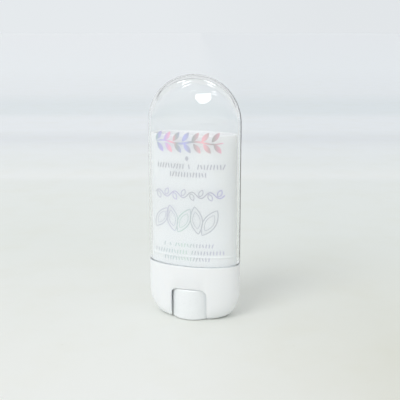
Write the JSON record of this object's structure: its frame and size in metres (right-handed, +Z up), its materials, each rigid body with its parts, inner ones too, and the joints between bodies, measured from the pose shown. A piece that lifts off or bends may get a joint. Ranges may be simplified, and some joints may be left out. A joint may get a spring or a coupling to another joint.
{
  "type": "twist-up makeup stick",
  "caption": "Flat oval twist-up makeup stick: clear domed cap over an oval barrel, and a foot with a thumbwheel that drives a lead screw to lift the product.",
  "frame": {"origin": "centre of the foot, on the surface it stands on", "axes": "+Z up through the cap's dome, +X along the case's width, -Y out of the front face"},
  "size_m": [0.029, 0.0146, 0.0747],
  "materials": {
    "base": "glossy white",
    "barrel": "satin white",
    "thumbwheel": "glossy white",
    "lead_screw": "natural, uncoloured",
    "elevator": "natural, uncoloured",
    "balm": "pale waxy pearl",
    "cap": "clear, polished"
  },
  "bodies": {
    "case": {"base": "base", "barrel": "barrel"},
    "wheel": {"thumbwheel": "thumbwheel", "lead_screw": "lead_screw"},
    "lift": {"elevator": "elevator", "balm": "balm"},
    "cap": {"cap": "cap"}
  },
  "joints": [
    {"name": "cap_pull", "type": "slide", "parent": "case", "child": "cap", "axis": [0, 0, 1], "range_m": [0, 0.045]},
    {"name": "wheel_turn", "type": "hinge", "parent": "case", "child": "wheel", "pos_m": [0, 0, 0], "axis": [0, 0, 1], "range_deg": [0, 720]},
    {"name": "balm_lift", "type": "slide", "parent": "case", "child": "lift", "axis": [0, 0, 1], "range_m": [0, 0.012]}
  ],
  "couplings": [
    {"joint": "wheel_turn", "follows": "balm_lift", "rad_per_m": 1047.2}
  ]
}
